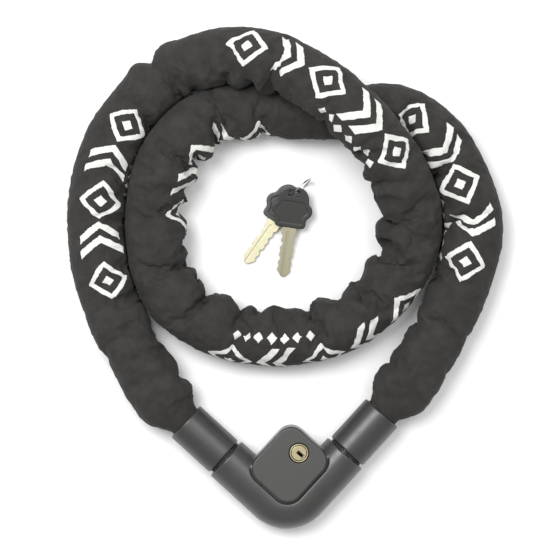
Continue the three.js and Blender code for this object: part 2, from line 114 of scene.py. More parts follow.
half = math.sqrt(0.5)
elbow = np.array([0, ELBOW_Y, AXIS_Z])
route_curve = smooth_route(SLEEVE_ROUTE)
ROUTE_LENGTH = arc_lengths(route_curve)[-1]
left_mouth = elbow + np.array([-half, half, 0]) * (0.082 - MOUTH_DEPTH)
right_mouth = elbow + np.array([half, half, 0]) * (0.082 - MOUTH_DEPTH)
full_curve = np.vstack([left_mouth, route_curve, right_mouth])
full_length = arc_lengths(full_curve)[-1]
RINGS = int(round(full_length / STEP)) + 1
centre = resample(full_curve, RINGS)
STEP = full_length / (RINGS - 1)
arc = np.arange(RINGS) * STEP - MOUTH_DEPTH  # from the left ferrule's mouth
kernel = np.hanning(15)
kernel /= kernel.sum()
tangent = np.gradient(centre, axis=0)
tangent = np.stack([np.convolve(np.pad(tangent[:, k], 7, "edge"), kernel, "valid") for k in range(3)], 1)
tangent = unit(tangent)
outward = unit(np.cross([0, 0, 1.0], tangent))  # the route runs clockwise, so its left is the loop's outside
upward = np.cross(tangent, outward)
# signed curvature about the vertical, positive where the route turns right
turn = np.arctan2(tangent[:, 1], tangent[:, 0])
curvature = -np.gradient(np.unwrap(turn)) / STEP
curvature = np.convolve(np.pad(curvature, 10, "edge"), np.ones(21) / 21, "valid")
# angles round the fabric, from the bottom: 0 is the top, and half pi the loop's outside
theta = -math.pi + np.arange(AROUND) * 2 * math.pi / AROUND


def bump_profile(s, middle, width):
    return np.exp(-(((s - middle) / width) ** 2))


def mean_radius():
    """Radius of the fabric along the sleeve: narrow in the ferrules, full between the link joints."""
    s = arc
    to_end = np.minimum(s, ROUTE_LENGTH - s)
    full = 0.0160 + 0.0003 * np.cos(2 * math.pi * s / 0.0363)
    neck = np.clip((to_end + 0.002) / 0.020, 0, 1)
    neck = neck * neck * (3 - 2 * neck)
    radius = 0.0103 + (full - 0.0103) * neck
    return radius + 0.0009 * bump_profile(to_end, 0.026, 0.010)


RADIUS = mean_radius()


def ring_points(radius, angles):
    """Points of the tube, rings by angles, for radius as an array of the same shape."""
    c, s = np.cos(angles)[None, :, None], np.sin(angles)[None, :, None]
    return centre[:, None] + radius[:, :, None] * (c * upward[:, None] + s * outward[:, None])


def tube_faces(rings, around):
    i, j = np.meshgrid(np.arange(rings - 1), np.arange(around), indexing="ij")
    k = (j + 1) % around
    quads = np.stack([i * around + j, (i + 1) * around + j, (i + 1) * around + k, i * around + k], -1)
    return quads.reshape(-1, 4)


def mesh_object(name, points, faces):
    mesh = bpy.data.meshes.new(name)
    face_list = faces if isinstance(faces, list) else faces.tolist()
    mesh.from_pydata(np.asarray(points, float).reshape(-1, 3).tolist(), [], face_list)
    mesh.update()
    ob = bpy.data.objects.new(name, mesh)
    bpy.context.scene.collection.objects.link(ob)
    return ob


SIM_SCALE = 20.0
SIM_FRAMES = 30
START_SHARE = 0.9  # the simulated tube starts this much narrower and grows to its size


def simulate_fabric():
    """A cloth tube with more fabric than its route: the spare buckles into folds, most inside the bends."""
    rng = np.random.default_rng(7)
    narrow = np.repeat((RADIUS * START_SHARE)[:, None], AROUND, 1)
    points = ring_points(narrow, theta) + rng.normal(0, 0.00025, (RINGS, AROUND, 3))
    ob = mesh_object("fabric_sim", points.reshape(-1, 3) * SIM_SCALE, tube_faces(RINGS, AROUND))
    bend = RADIUS * np.abs(curvature)
    slack = 0.05
    reach = 1 + np.sin(theta)[None] * narrow * curvature[:, None]
    growth = (1 + 0.7 * bend + slack)[:, None] / reach
    most = 1.9
    hold = ob.vertex_groups.new(name="hold")
    grow = ob.vertex_groups.new(name="grow")
    soft_hold = 0.22
    for i in range(RINGS):
        end = i < 6 or i >= RINGS - 6
        hold.add(list(range(i * AROUND, (i + 1) * AROUND)), 1.0 if end else soft_hold, "REPLACE")
        for j in range(AROUND):
            share = 0 if end else min(max((growth[i, j] - 1) / (most - 1), 0), 1)
            grow.add([i * AROUND + j], float(1 - share), "REPLACE")
    cloth = ob.modifiers.new("cloth", "CLOTH")
    k = cloth.settings
    k.quality = 4
    k.mass = 0.3
    k.tension_stiffness = 25
    k.compression_stiffness = 25
    k.shear_stiffness = 6
    k.bending_stiffness = 3.0
    k.tension_damping = 5
    k.compression_damping = 5
    k.shear_damping = 5
    k.bending_damping = 0.5
    k.air_damping = 2
    k.vertex_group_mass = "hold"
    k.pin_stiffness = 1.0
    k.vertex_group_shrink = "grow"
    k.shrink_min = 1 - most
    k.shrink_max = 0
    k.use_pressure = True
    k.uniform_pressure_force = 2.0
    k.effector_weights.gravity = 0
    cloth.point_cache.frame_start = 1
    cloth.point_cache.frame_end = SIM_FRAMES
    scene = bpy.context.scene
    for f in range(1, SIM_FRAMES + 1):
        scene.frame_set(f)
    dg = bpy.context.evaluated_depsgraph_get()
    result = ob.evaluated_get(dg)
    co = np.zeros(RINGS * AROUND * 3, np.float32)
    result.data.vertices.foreach_get("co", co)
    scene.frame_set(1)
    bpy.data.objects.remove(ob)
    return co.reshape(RINGS, AROUND, 3).astype(float) / SIM_SCALE


start = ring_points(np.repeat(RADIUS[:, None], AROUND, 1), theta)


# How much of the simulated folds is kept, at places along the sleeve: the outer strands are smoother.
FOLD_SHARE = (
    (0, 0.7), (0.08, 0.6), (0.20, 0.55), (0.36, 0.7), (0.45, 0.9), (0.68, 0.85), (0.80, 0.7), (1.05, 0.7),
)
FULL_HALF = 0.0165  # half width of the fabric seen from above, where no strand lies close beside it
WIDEST_HALF = 0.019  # the most it spreads to meet a strand beside it
OVERLAP = 0.0005  # it spreads this far past half way, and keep_apart presses it flat there
APART_ALONG = 0.075  # two places on the sleeve count as two strands when they are this far apart along it
# The fabric's distance from its middle line is pressed in above FULLEST, by at most SPARE, and kept out
# beyond LINK_ROOM along the route, clear of the links, and MOUTH_LEAST in the ferrules.
FULLEST, SPARE = 0.0188, 0.0032
LINK_ROOM, MOUTH_LEAST = 0.0122, 0.0085
CREASE_GAP = 0.026  # between one crease and the next, on average
CREASE_DEPTH = 0.00026  # of a crease in metres, for each 1/m of the bend that it lies in
CREASE_SEED = 11
NOTCH_POINT = 8  # the route's point where the outside of the sleeve folds in deeply as it starts to climb
NOTCH_DEPTH, NOTCH_WIDTH, NOTCH_LEAN = 0.0052, 0.0045, -0.005


def crease_list():
    """Creases as (place, depth, width, side, lean), on the inside of each bend and deeper in tight ones."""
    rng = np.random.default_rng(CREASE_SEED)
    notch = arc_lengths(route_curve)[int(NOTCH_POINT / (len(SLEEVE_ROUTE) - 1) * (len(route_curve) - 1))]
    creases = [(notch, NOTCH_DEPTH, NOTCH_WIDTH, 1, NOTCH_LEAN)]
    place = CREASE_GAP
    while place < ROUTE_LENGTH - CREASE_GAP:
        bend = np.interp(place, arc, curvature)
        depth = CREASE_DEPTH * abs(bend) * rng.uniform(0.4, 1.4)
        width, lean = rng.uniform(0.0035, 0.005), rng.uniform(-0.008, 0.008)
        creases.append((place, depth, width, -np.sign(bend), lean))
        place += CREASE_GAP * rng.uniform(0.6, 1.4)
    return creases


def crease(points):
    """Presses the creases into the fabric, each deepest at its side and gone at the far side."""
    moved_in = np.zeros(points.shape[:2])
    for place, depth, width, side, lean in crease_list():
        from_side = np.mod(theta - side * math.pi / 2 + math.pi, 2 * math.pi) - math.pi
        across = (arc[:, None] - place - lean * np.abs(from_side)[None]) / width
        shape = np.exp(-across ** 2) - 0.35 * np.exp(-(np.abs(across) - 2) ** 2)
        moved_in += depth * shape * np.exp(-(from_side / 1.25) ** 2)[None]
    c, s = np.cos(theta)[None, :, None], np.sin(theta)[None, :, None]
    return points - moved_in[:, :, None] * (c * upward[:, None] + s * outward[:, None])


def half_widths(side):
    """Half width on one side of each ring: full, or as wide as the room to a strand lying beside it."""
    half = np.full(RINGS, FULL_HALF)
    for i in range(RINGS):
        away = centre - centre[i]
        far = np.linalg.norm(away, axis=1)
        strand = np.abs(np.arange(RINGS) - i) * STEP > APART_ALONG
        beside = strand & (away @ outward[i] * side > 0.8 * far)
        room = far[beside].min() / 2 + OVERLAP if beside.any() else 1
        if FULL_HALF < room < WIDEST_HALF:
            half[i] = room
    return half


def fit_outline(points):
    """Stretches each side of the fabric sideways until its edges lie near their half widths."""
    off = ((points - centre[:, None]) * outward[:, None]).sum(2)
    end = np.minimum(arc, ROUTE_LENGTH - arc)
    fading = np.clip((end - 0.002) / 0.018, 0, 1)
    smooth = np.hanning(31) / np.hanning(31).sum()
    grown = points.copy()
    for side in (1, -1):
        reach = (off * side).max(1)
        envelope = np.convolve(np.pad(reach, 15, "edge"), smooth, "valid")
        wanted = np.convolve(np.pad(half_widths(side), 15, "edge"), smooth, "valid")
        extra = (wanted / envelope - 1) * fading
        grown += (np.where(off * side > 0, off, 0) * extra[:, None])[..., None] * outward[:, None]
    spoke = grown - centre[:, None]
    long = np.linalg.norm(spoke, axis=2, keepdims=True)
    kept = np.where(long > FULLEST, FULLEST + SPARE * np.tanh((long - FULLEST) / SPARE), long)
    least = (MOUTH_LEAST + (LINK_ROOM - MOUTH_LEAST) * fading)[:, None, None]
    kept = least + MM * np.logaddexp(0, (kept - least) / MM)
    return centre[:, None] + spoke * kept / long


def keep_apart(points):
    """Flattens the fabric where it rests on the floor and where two strands press on each other."""
    shape = points.shape
    p = points.reshape(-1, 3).copy()
    own = np.repeat(np.arange(RINGS), AROUND)
    gap = 0.0003
    for first in range(0, len(p), 4000):
        part = slice(first, first + 4000)
        apart = np.abs(own[part, None] - np.arange(RINGS)[None]) * STEP
        span = np.linalg.norm(p[part, None] - centre[None], axis=2)
        span[apart < APART_ALONG] = 9
        other = span.argmin(1)
        mine, theirs = centre[own[part]], centre[other]
        away = theirs - mine
        away -= (away * tangent[own[part]]).sum(1, keepdims=True) * tangent[own[part]]
        far = np.linalg.norm(away, axis=1, keepdims=True)
        away /= far
        beyond = ((p[part] - mine) * away).sum(1) - (far[:, 0] / 2 - gap)
        near = (span.min(1) < 0.030) & (beyond > 0)
        p[part] -= np.where(near, beyond, 0)[:, None] * away
    low = p[:, 2] < 0.0016
    p[low, 2] = 0.0016 - 0.0013 * np.tanh((0.0016 - p[low, 2]) / 0.0013)
    return p.reshape(shape)


def finer(grid):
    """Twice the rings and twice the points round each, on smooth curves through the given ones."""
    def middle(a, b, c, d):
        return (9 * (b + c) - a - d) / 16
    before = np.roll(grid, 1, 1)
    after, later = np.roll(grid, -1, 1), np.roll(grid, -2, 1)
    wide = np.stack([grid, middle(before, grid, after, later)], 2).reshape(len(grid), -1, 3)
    padded = np.vstack([wide[:1], wide, wide[-1:]])
    between = middle(padded[:-3], padded[1:-2], padded[2:-1], padded[3:])
    out = np.zeros((2 * len(wide) - 1, wide.shape[1], 3))
    out[::2] = wide
    out[1::2] = between
    return out


share = np.interp(arc, [s for s, _ in FOLD_SHARE], [v for _, v in FOLD_SHARE])
fabric = start + (simulate_fabric() - start) * share[:, None, None]
fabric = keep_apart(fit_outline(crease(fabric)))
fine = finer(fabric)
FINE_AROUND = 2 * AROUND
fine_arc = -MOUTH_DEPTH + np.arange(len(fine)) * STEP / 2
# Marks on the fabric: where along the sleeve each group's middle lies, and how far round from the top.
MARK_PERIOD = 0.190
FIRST_MARK = 0.1435
MARK_TURNS = (-14, 11, 60, -80, -12)
GIRTH_RADIUS = 0.0162


def mark_coordinates(s, angle):
    k = np.clip(np.round((s - FIRST_MARK) / MARK_PERIOD).astype(int), 0, len(MARK_TURNS) - 1)
    middle = np.radians(np.array(MARK_TURNS))[k]
    turned = np.mod(angle - middle + math.pi, 2 * math.pi) - math.pi
    return s - FIRST_MARK - k * MARK_PERIOD, turned * GIRTH_RADIUS


def cut_sleeve(name, first, last, normals):
    """The rings from first to last as one piece, shaded as part of the whole sleeve."""
    rows = fine[first:last + 1]
    ob = mesh_object(name, rows.reshape(-1, 3), tube_faces(len(rows), FINE_AROUND))
    mesh = ob.data
    count = len(mesh.polygons)
    i, j = np.meshgrid(np.arange(len(rows) - 1), np.arange(FINE_AROUND), indexing="ij")
    ring = np.stack([i, i + 1, i + 1, i], -1).reshape(-1) + first
    spot = np.stack([j, j, j + 1, j + 1], -1).reshape(-1)
    angle = -math.pi + spot * 2 * math.pi / FINE_AROUND
    s = fine_arc[ring]
    weave = mesh.uv_layers.new(name="weave")
    weave.data.foreach_set("uv", np.stack([s, angle * GIRTH_RADIUS], -1).astype(np.float32).ravel())
    u, v = (c.reshape(-1, 4) for c in mark_coordinates(s, angle))
    torn = (np.ptp(v, axis=1) > 0.02) | (np.ptp(u, axis=1) > 0.02)
    u[torn], v[torn] = 0.5, 0.5
    mark = mesh.uv_layers.new(name="mark")
    mark.data.foreach_set("uv", np.stack([u.ravel(), v.ravel()], -1).astype(np.float32).ravel())
    mesh.polygons.foreach_set("use_smooth", [True] * count)
    mesh.normals_split_custom_set_from_vertices(normals[first:last + 1].reshape(-1, 3).tolist())
    mesh.materials.append(MATERIAL["fabric"])
    return ob


def whole_normals():
    ob = mesh_object("whole", fine.reshape(-1, 3), tube_faces(len(fine), FINE_AROUND))
    ob.data.polygons.foreach_set("use_smooth", [True] * len(ob.data.polygons))
    n = np.zeros(len(ob.data.vertices) * 3, np.float32)
    ob.data.vertex_normals.foreach_get("vector", n)
    bpy.data.objects.remove(ob)
    return n.reshape(len(fine), FINE_AROUND, 3)


# ---------------------------------------------------------------- materials
class Term:
    """A socket or a number in a node tree, which adds, multiplies and so on."""

    def __init__(self, tree, value):
        self.tree, self.value = tree, value

    def math(self, kind, *others):
        node = self.tree.nodes.new("ShaderNodeMath")
        node.operation = kind
        for socket, term in zip(node.inputs, (self, *others)):
            value = term.value if isinstance(term, Term) else term
            if isinstance(value, (int, float)):
                socket.default_value = value
            else:
                self.tree.links.new(value, socket)
        return Term(self.tree, node.outputs[0])

    def __add__(self, other):
        return self.math("ADD", other)

    def __sub__(self, other):
        return self.math("SUBTRACT", other)

    def __mul__(self, other):
        return self.math("MULTIPLY", other)

    def __truediv__(self, other):
        return self.math("DIVIDE", other)

    def size(self):
        return self.math("ABSOLUTE")

    def below(self, other):
        return self.math("LESS_THAN", other)

    def most(self, other):
        return self.math("MAXIMUM", other)

    def least(self, other):
        return self.math("MINIMUM", other)

    def wrap(self, period):
        """Into -period/2 to period/2, with period's multiples at 0."""
        return self.math("WRAP", period / 2, -period / 2)

    def fade(self, low, high):
        """0 at low and 1 at high, smooth between."""
        node = self.tree.nodes.new("ShaderNodeMapRange")
        node.interpolation_type = "SMOOTHSTEP"
        node.inputs["From Min"].default_value = low
        node.inputs["From Max"].default_value = high
        self.tree.links.new(self.value, node.inputs["Value"])
        return Term(self.tree, node.outputs["Result"])


class Finish:
    """A material with one Principled shader, and short calls for the nodes that drive it."""

    def __init__(self, name):
        self.material = bpy.data.materials.new(name)
        self.material.use_nodes = True
        self.tree = self.material.node_tree
        self.shader = self.tree.nodes["Principled BSDF"]

    def number(self, name, value):
        self.shader.inputs[name].default_value = value

    def colour_of(self, *rgb):
        return (*rgb, 1)

    def place(self, uv=None):
        """(x, y, z) of the surface, or the two coordinates of a UV map, in millimetres."""
        if uv:
            node = self.tree.nodes.new("ShaderNodeUVMap")
            node.uv_map = uv
            vector = node.outputs[0]
        else:
            vector = self.tree.nodes.new("ShaderNodeTexCoord").outputs["Object"]
        scale = self.tree.nodes.new("ShaderNodeVectorMath")
        scale.operation = "SCALE"
        scale.inputs["Scale"].default_value = 1000
        self.tree.links.new(vector, scale.inputs[0])
        split = self.tree.nodes.new("ShaderNodeSeparateXYZ")
        self.tree.links.new(scale.outputs[0], split.inputs[0])
        return scale.outputs[0], [Term(self.tree, o) for o in split.outputs]

    def join(self, *terms):
        node = self.tree.nodes.new("ShaderNodeCombineXYZ")
        for socket, term in zip(node.inputs, terms):
            if isinstance(term, Term):
                self.tree.links.new(term.value, socket)
            else:
                socket.default_value = term
        return node.outputs[0]

    def noise(self, vector, size, detail=2.0, rough=0.5):
        """Noise with features about size millimetres across, from 0 to 1."""
        node = self.tree.nodes.new("ShaderNodeTexNoise")
        node.inputs["Scale"].default_value = 1 / size
        node.inputs["Detail"].default_value = detail
        node.inputs["Roughness"].default_value = rough
        self.tree.links.new(vector, node.inputs["Vector"])
        return Term(self.tree, node.outputs[0])

    def mix(self, share, first, second):
        node = self.tree.nodes.new("ShaderNodeMix")
        node.data_type = "RGBA"
        self.tree.links.new(share.value, node.inputs[0])
        for socket, colour in zip(node.inputs[6:8], (first, second)):
            if isinstance(colour, tuple):
                socket.default_value = colour
            else:
                self.tree.links.new(colour, socket)
        return node.outputs[2]

    def bump(self, height, depth, strength=1.0):
        """Relief of the given depth in millimetres where height goes from 0 to 1."""
        node = self.tree.nodes.new("ShaderNodeBump")
        node.inputs["Distance"].default_value = depth * MM
        node.inputs["Strength"].default_value = strength
        self.tree.links.new(height.value, node.inputs["Height"])
        self.tree.links.new(node.outputs[0], self.shader.inputs["Normal"])

    def drive(self, name, socket):
        self.tree.links.new(socket.value if isinstance(socket, Term) else socket, self.shader.inputs[name])

    def edge(self, low, high):
        """1 on sharp outer edges, 0 elsewhere: the mask for a painted edge highlight with some edge wear."""
        node = self.tree.nodes.new("ShaderNodeNewGeometry")
        return Term(self.tree, node.outputs["Pointiness"]).fade(low, high)


def mark_mask(x, y):
    """Woven marks: rhombs and pairs of chevrons in one row, small rhombs in a second row beside it."""
    in_row = x.size().below(59.5)
    rhomb = x.wrap(48).size() / 11.5 + y.size() / 12.6
    frame_part = (rhomb.below(1.0)) * ((rhomb * -1).below(-0.70))
    core_part = rhomb.below(0.27)
    arrow = (x + 24.0).wrap(48) + y.size() * 0.62
    first = (arrow - 0.2).size().below(2.1)
    second = (arrow - 8.2).size().below(2.1)
    rows = y.size().below(12.2)
    inside = (x + 24.0).wrap(48).size().below(11.8)
    big = (frame_part.most(core_part)).most((first.most(second)) * inside) * rows * in_row
    along = x - 27.0
    across = y + 18.0
    small = (along.wrap(7.0).size() / 2.6 + across.size() / 3.2).below(1.0) * along.size().below(24.4)
    return big.most(small)


def fabric_finish():
    f = Finish("woven_sleeve")
    vector, (u, v, _) = f.place("weave")
    _, (mx, my, _) = f.place("mark")
    solid, _ = f.place()
    cloudy = f.noise(solid, 9, 3)
    patchy = f.noise(solid, 1.6, 2)
    bands = f.noise(f.join(u * 0.9, v * 0.12, 0.0), 3.0, 3, 0.6)
    drift = (f.noise(vector, 3.5, 2) - 0.5) * 0.5
    rib = ((u + drift) * (2 * math.pi / 0.95)).math("SINE") * 0.5 + 0.5
    row = (u / 0.95).math("FLOOR")
    stitch = (v * (2 * math.pi / 0.8) + row * math.pi).math("SINE") * 0.5 + 0.5
    clear = f.noise(solid, 6.0, 2).fade(0.42, 0.62)
    weave = (rib * 0.65 + stitch * 0.35) * (clear * 0.75 + 0.25)
    ragged = (f.noise(vector, 0.7, 1) - 0.5) * 0.7
    mask = mark_mask(mx + ragged, my + ragged)
    # Random tone variation, plus a painted highlight: the weave is painted lighter on rib tops and darker in
    # rib valleys.
    tone_and_rib_highlight = weave * 0.35 + patchy * 0.25 + bands * 0.4
    dark = f.mix(tone_and_rib_highlight, f.colour_of(0.0175, 0.0163, 0.0155), f.colour_of(0.046, 0.0435, 0.0415))
    dusty = f.mix(cloudy.fade(0.35, 0.75) * 0.4, dark, f.colour_of(0.050, 0.047, 0.044))
    # The white thread is painted lighter on rib tops, a painted highlight, and also varies at random with
    # patchy.
    white = f.mix(rib * 0.5 + patchy * 0.5, f.colour_of(0.55, 0.55, 0.52), f.colour_of(0.80, 0.80, 0.77))
    f.drive("Base Color", f.mix(mask, dusty, white))
    f.drive("Roughness", weave * -0.12 + 0.9)
    f.number("Sheen Weight", 0.04)
    f.number("Sheen Roughness", 0.5)
    f.number("Specular IOR Level", 0.18)
    f.bump(weave * 0.45 + mask * 0.7 + patchy * 0.5 + bands * 0.6 + cloudy * 0.8, 0.22, 0.8)
    return f.material


def plastic_finish(name, shade, rough, grain=0.010):
    f = Finish(name)
    vector, _ = f.place()
    cloudy = f.noise(vector, 14, 4)
    fine_grain = f.noise(vector, 0.55, 3)
    scuffs = f.noise(vector, 3, 5, 0.7)
    # Sharp outer edges are painted lighter below: a painted edge highlight, partly edge wear.
    edge = f.edge(0.53, 0.60)
    darker, lighter = (f.colour_of(*[c * share for c in shade]) for share in (0.9, 1.08))
    base = f.mix(cloudy.fade(0.3, 0.7), darker, lighter)
    f.drive("Base Color", f.mix(edge * 0.5, base, f.colour_of(*[c * 1.9 for c in shade])))
    f.drive("Roughness", scuffs * 0.16 + fine_grain * 0.06 + (rough - 0.11))
    f.number("Specular IOR Level", 0.62)
    f.bump(fine_grain * 0.7 + scuffs * 0.3, grain, 1.0)
    return f.material


def metal_finish(name, light, dark, rough, brushed, grain=0.006):
    """Metal with fine turning or drawing lines along one axis and slightly darker patches."""
    f = Finish(name)
    vector, (x, y, z) = f.place()
    lines = f.noise(f.join(x * brushed[0], y * brushed[1], z * brushed[2]), 0.45, 3, 0.7)
    patch = f.noise(vector, 2.2, 4)
    f.drive("Base Color", f.mix(patch * 0.5 + lines * 0.4, f.colour_of(*light), f.colour_of(*dark)))
    f.number("Metallic", 1.0)
    f.drive("Roughness", lines * 0.22 + patch * 0.12 + (rough - 0.15))
    f.bump(lines * 0.8 + patch * 0.2, grain, 1.0)
    return f.material


def rubber_finish():
    f = Finish("seal_rubber")
    vector, _ = f.place()
    specks = f.noise(vector, 0.8, 4)
    f.drive("Base Color", f.mix(specks, f.colour_of(0.010, 0.010, 0.010), f.colour_of(0.022, 0.022, 0.022)))
    f.drive("Roughness", specks * 0.2 + 0.65)
    f.bump(specks, 0.02, 1.0)
    return f.material


MATERIAL = {
    "fabric": fabric_finish(),
    "plastic": plastic_finish("housing_plastic", (0.036, 0.036, 0.035), 0.36),
    # The ferrules get a darker copy of the housing plastic: painted shade, so that they look less lit than
    # the arms.
    "ferrule": plastic_finish("ferrule_plastic_painted_shade", (0.030, 0.030, 0.029), 0.38),
    "cover": plastic_finish("cover_plastic", (0.021, 0.021, 0.020), 0.44),
    "key_plastic": plastic_finish("key_plastic", (0.018, 0.018, 0.0168), 0.38, 0.014),
    "steel": metal_finish("hardened_steel", (0.62, 0.61, 0.60), (0.38, 0.37, 0.36), 0.38, (1, 1, 6)),
    "plated": metal_finish("plated_steel", (0.72, 0.72, 0.71), (0.50, 0.50, 0.49), 0.32, (4, 1, 1)),
    "brass": metal_finish("cylinder_brass", (0.40, 0.355, 0.225), (0.28, 0.245, 0.14), 0.40, (1, 1, 8)),
    "nickel": metal_finish("key_nickel", (0.52, 0.495, 0.355), (0.37, 0.35, 0.24), 0.40, (6, 1, 1)),
    "ring": metal_finish("ring_steel", (0.80, 0.80, 0.80), (0.55, 0.55, 0.55), 0.25, (2, 2, 2)),
    "rubber": rubber_finish(),
}
SLOT_FINISH = {
    "housing_plastic": "plastic", "sleeve_fabric": "fabric", "seal_rubber": "rubber",
    "hardened_steel": "steel", "plated_steel": "plated", "cylinder_brass": "brass",
    "key_plastic": "key_plastic", "key_nickel": "nickel", "ring_steel": "ring",
}


# ---------------------------------------------------------------- hard parts from distance fields, in mm
def surface(field, low, high, step):
    """Closed mesh of the places where field is 0, from its values on a grid: negative is inside."""
    axes = [np.arange(a - 1.5 * step, b + 2.5 * step, step) for a, b in zip(low, high)]
    f = field(*np.meshgrid(*axes, indexing="ij"))
    f = np.where(f == 0, 1e-9, f)
    inside = f < 0
    shape = tuple(n - 1 for n in f.shape)
    where = np.indices(shape).astype(np.float32)
    total = np.zeros((3, *shape), np.float32)
    count = np.zeros(shape, np.int16)
    corner = [(i, j, k) for i in (0, 1) for j in (0, 1) for k in (0, 1)]

    def at(c, g):
        return g[c[0]:c[0] + shape[0], c[1]:c[1] + shape[1], c[2]:c[2] + shape[2]]

    for axis in range(3):
        for c in corner:
            if c[axis]:
                continue
            d = tuple(v + (n == axis) for n, v in enumerate(c))
            fa, fb = at(c, f), at(d, f)
            crossed = (fa < 0) != (fb < 0)
            t = np.where(crossed, fa / np.where(crossed, fa - fb, 1), 0)
            for n in range(3):
                total[n] += np.where(crossed, c[n] + (t if n == axis else 0), 0)
            count += crossed
    used = count > 0
    index = np.full(shape, -1, np.int64)
    index[used] = np.arange(used.sum())
    spots = ((where[:, used] + total[:, used] / count[used]) * step).T + [a[0] for a in axes]
    faces = []
    for axis in range(3):
        one, two = (axis + 1) % 3, (axis + 2) % 3
        first = [slice(1, -1)] * 3
        first[axis] = slice(0, -1)
        second = list(first)
        second[axis] = slice(1, None)
        lo_side, hi_side = inside[tuple(first)], inside[tuple(second)]
        cells = np.argwhere(lo_side != hi_side)
        offset = np.ones(3, int)
        offset[axis] = 0
        cells = cells + offset
        e1, e2 = np.eye(3, dtype=int)[one], np.eye(3, dtype=int)[two]
        quad = np.stack([index[tuple((cells - o).T)] for o in (0 * e1, e1, e1 + e2, e2)], 1)
        outwards = f[tuple(cells.T)] < 0
        quad[~outwards] = quad[~outwards][:, ::-1]
        faces.append(quad)
    faces = np.vstack(faces)
    spots = spots.astype(float)
    for _ in range(4):
        h = 0.02
        value = field(*spots.T)
        ends = [(field(*(spots + h * e).T), field(*(spots - h * e).T)) for e in np.eye(3)]
        slope = np.stack([(ahead - behind) / (2 * h) for ahead, behind in ends], 1)
        steepness = np.maximum((slope ** 2).sum(1, keepdims=True), 0.2)
        move = np.clip(value, -step / 2, step / 2)[:, None] * slope / steepness
        spots -= move
    return spots, faces


def soft_max(a, b, radius):
    """The larger of two distances, with the edge between them rounded to radius."""
    if radius <= 0:
        return np.maximum(a, b)
    corner = np.hypot(np.maximum(a + radius, 0), np.maximum(b + radius, 0))
    return np.where((a > -radius) & (b > -radius), corner - radius, np.maximum(a, b))


def soft_min(a, b, radius):
    """The smaller of two distances, with the inner corner between them filled to radius."""
    return -soft_max(-a, -b, radius)


def block_field(x, y, z, low, high, edge=0.0):
    d = np.maximum(low[0] - x, x - high[0])
    d = soft_max(d, np.maximum(low[1] - y, y - high[1]), edge)
    return soft_max(d, np.maximum(low[2] - z, z - high[2]), edge)


def disc_field(x, y, z, radius, low, high, edge=0.0):
    return soft_max(np.hypot(x, y) - radius, np.maximum(low - z, z - high), edge)


def plate_field(x, y, half_x, half_y, corner):
    qx, qy = np.abs(x) - half_x + corner, np.abs(y) - half_y + corner
    return np.hypot(np.maximum(qx, 0), np.maximum(qy, 0)) + np.minimum(np.maximum(qx, qy), 0) - corner


BEND = 13.8
ARM_LENGTH = 49.3
AXIS = 13.5
COVER_A, COVER_B, COVER_LONG, COVER_WIDE = 23.05, 20.1, 19.3, 17.0
CYLINDER_A, CYLINDER_B = 31.8, 20.6
SCREWS = ((16.5, 31.0), (16.5, 14.5))


def elbow_field(a, b, z, radius, length, edge=0.0):
    """The two arms and the round elbow between them."""
    arc_gap = np.abs(np.hypot(a - BEND, b - BEND) - BEND)
    gap = np.where((a < BEND) & (b < BEND), arc_gap, np.minimum(
        np.where(b >= BEND, np.abs(a), 1e3), np.where(a >= BEND, np.abs(b), 1e3)))
    tube = np.hypot(gap, z - AXIS) - radius
    return soft_max(tube, np.maximum(a, b) - length, edge)


def cover_plan(a, b, grow=0.0):
    return plate_field(a - COVER_A, b - COVER_B, COVER_LONG + grow, COVER_WIDE + grow, 9 + grow)


def core_room(a, b, z, gap=0.4):
    d = elbow_field(a, b, z, 9.6 + gap, ARM_LENGTH + 1)
    d = np.minimum(d, disc_field(a - CYLINDER_A, b - CYLINDER_B, z, 8.3 + gap, 4.8 - gap, 22.6 + gap))
    d = np.minimum(d, block_field(a, b, z, (25 - gap, 2, 4.8 - gap), (38.6 + gap, CYLINDER_B, 20.6 + gap)))
    d = np.minimum(d, block_field(a, b, z, (27, 3.8, 2.2), (37.6, 31.6, 5.8)))
    return np.minimum(d, disc_field(a - CYLINDER_A, b - CYLINDER_B, z, 8.7, 2.2, 5.8))


def housing_field(a, b, z, upper):
    arms = elbow_field(a, b, z, 13.5, ARM_LENGTH, 0.9)
    block = soft_max(cover_plan(a, b), np.maximum(0.0 - z, z - 25.4), 0.9)
    d = soft_min(arms, block, 1.6)
    d = soft_max(d, 0.02 - z, 0.3)
    recess = np.maximum(cover_plan(a, b, 1.1), 25.4 - z)
    d = soft_max(d, -recess, 0.35)
    d = np.maximum(d, -disc_field(a - CYLINDER_A, b - CYLINDER_B, z, 5.9, 20, 30))
    d = np.maximum(d, -core_room(a, b, z))
    for sa, sb in SCREWS:
        d = soft_max(d, -disc_field(a - sa, b - sb, z, 3.3, -1, 3.2), 0.25)
        d = np.maximum(d, -disc_field(a - sa, b - sb, z, 1.75, 3, 20.8))
    return soft_max(d, (13.65 - z) if upper else (z - 13.35), 0.2)


def cover_field(a, b, z):
    d = soft_max(cover_plan(a, b), np.maximum(25.7 - z, z - 28.5), 1.15)
    return soft_max(d, -disc_field(a - CYLINDER_A, b - CYLINDER_B, z, 5.9, 20, 30), 0.3)


def body_field(x, y, z):
    r = np.hypot(x, y)
    d = np.maximum(r - 6.8, np.maximum(7.3 - z, z - 22.3))
    d = np.minimum(d, soft_max(r - 5.5, np.maximum(7.3 - z, z - 28.1), 0.35))
    return soft_max(d, 4.6 - r, 0.15)


def plug_field(x, y, z):
    d = soft_max(np.hypot(x, y) - 4.4, np.maximum(7.2 - z, z - 28.1), 0.28)
    d = np.minimum(d, disc_field(x, y, z, 3.5, 5.9, 8))
    keyway = block_field(x, y, z, (-0.95, -3.7, 9), (0.95, 1.2, 30))
    d = soft_max(d, -keyway, 0.12)
    for level in (11, 14.5, 18, 21.5):
        d = np.maximum(d, -block_field(x, y, z, (-3.2, -6, level - 0.8), (3.2, 6, level + 0.8)))
    return d


